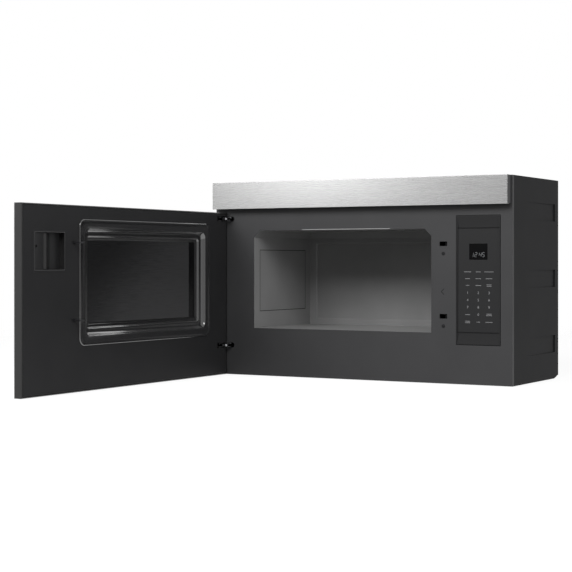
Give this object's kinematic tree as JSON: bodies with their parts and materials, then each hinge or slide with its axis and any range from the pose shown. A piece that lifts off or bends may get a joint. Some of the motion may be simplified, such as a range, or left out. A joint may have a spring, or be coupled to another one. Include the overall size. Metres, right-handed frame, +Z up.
{
  "type": "over-the-range microwave oven",
  "caption": "Over-the-range microwave with a left-hinged flush door standing open, painted cavity, touch control panel, brushed vent trim and grease filters underneath.",
  "frame": {"origin": "centre of the face of the wall plate that lies against the wall", "axes": "+X to the right seen from the front, +Y into the wall, +Z up; the front faces -Y"},
  "size_m": [0.759, 1.0471, 0.458],
  "materials": {
    "black_paint": "satin",
    "front_paint": "satin",
    "cavity_paint": "satin",
    "brushed_steel": "brushed",
    "zinc_steel": "matte",
    "bright_steel": "polished",
    "dark_plastic": "satin",
    "gloss_plastic": "gloss",
    "white_plastic": "satin",
    "smoked_glass": "polished",
    "clear_glass": "polished",
    "aluminium": "satin",
    "mica": "matte",
    "circuit_board": "satin",
    "copper": "satin",
    "carbon": "matte"
  },
  "bodies": {
    "cabinet": {"front_frame": "front_paint", "outer_wrap": "black_paint", "exhaust_cover": "zinc_steel", "cord_bushing": "dark_plastic", "back_panel": "zinc_steel", "wall_plate": "zinc_steel", "base_pan": "black_paint", "cavity_liner": "cavity_paint", "feed_cover": "mica", "feed_box": "zinc_steel", "waveguide": "zinc_steel", "magnetron": "aluminium", "stirrer_motor": "zinc_steel", "fan_shroud": "dark_plastic", "fan_motor": "copper", "blower_housing_left": "zinc_steel", "blower_housing_right": "zinc_steel", "blower_motor": "zinc_steel", "charcoal_filter": "carbon", "hv_transformer": "copper", "hv_capacitor": "aluminium", "lamp_lens_left": "clear_glass", "lamp_lens_right": "clear_glass", "lamp_housing_left": "white_plastic", "lamp_housing_right": "white_plastic", "top_trim": "brushed_steel", "trim_cap_left": "dark_plastic", "trim_cap_right": "dark_plastic", "control_bezel": "dark_plastic", "keypad_overlay": "dark_plastic", "display_window": "smoked_glass", "control_board": "circuit_board", "latch_board": "dark_plastic", "primary_switch": "dark_plastic", "monitor_switch": "dark_plastic", "secondary_switch": "dark_plastic", "front_screw_upper": "black_paint", "front_screw_lower": "black_paint", "hinge_upper": "bright_steel", "hinge_lower": "bright_steel"},
    "door": {"door_frame": "dark_plastic", "door_facing": "brushed_steel", "door_glass": "smoked_glass", "door_liner": "black_paint", "choke_cover": "gloss_plastic", "window_film": "smoked_glass", "window_screen": "black_paint", "handle_cup": "dark_plastic", "hinge_pin_upper": "bright_steel", "hinge_pin_lower": "bright_steel", "latch_spring": "bright_steel"},
    "latch": {"latch_bar": "dark_plastic"},
    "stirrer": {"stirrer_wheel": "aluminium"},
    "cooling_fan": {"fan_wheel": "white_plastic"},
    "blower": {"blower_shaft": "bright_steel", "blower_wheel_left": "dark_plastic", "blower_wheel_right": "dark_plastic"},
    "filter_left": {"grease_filter_left": "aluminium"},
    "filter_right": {"grease_filter_right": "aluminium"}
  },
  "joints": [
    {"name": "door_hinge", "type": "hinge", "parent": "cabinet", "child": "door", "pos_m": [-0.3618, -0.3063, 0], "axis": [0, 0, 1], "range_deg": [0, 90]},
    {"name": "latch_swing", "type": "hinge", "parent": "door", "child": "latch", "pos_m": [-0.3569, -0.8835, 0], "axis": [0, 0, 1], "range_deg": [0, 7], "stiffness_Nm_per_rad": 0.5},
    {"name": "stirrer_spin", "type": "hinge", "parent": "cabinet", "child": "stirrer", "pos_m": [-0.3108, -0.15175, -0.00425], "axis": [1, 0, 0], "continuous": true},
    {"name": "cooling_fan_spin", "type": "hinge", "parent": "cabinet", "child": "cooling_fan", "pos_m": [-0.2928, -0.085, 0.1678], "axis": [0, 1, 0], "continuous": true},
    {"name": "blower_spin", "type": "hinge", "parent": "cabinet", "child": "blower", "pos_m": [0, -0.076, 0.172], "axis": [1, 0, 0], "continuous": true},
    {"name": "filter_left_slide", "type": "slide", "parent": "cabinet", "child": "filter_left", "axis": [1, 0, 0], "range_m": [0, 0.01]},
    {"name": "filter_right_slide", "type": "slide", "parent": "cabinet", "child": "filter_right", "axis": [1, 0, 0], "range_m": [0, 0.01]}
  ]
}
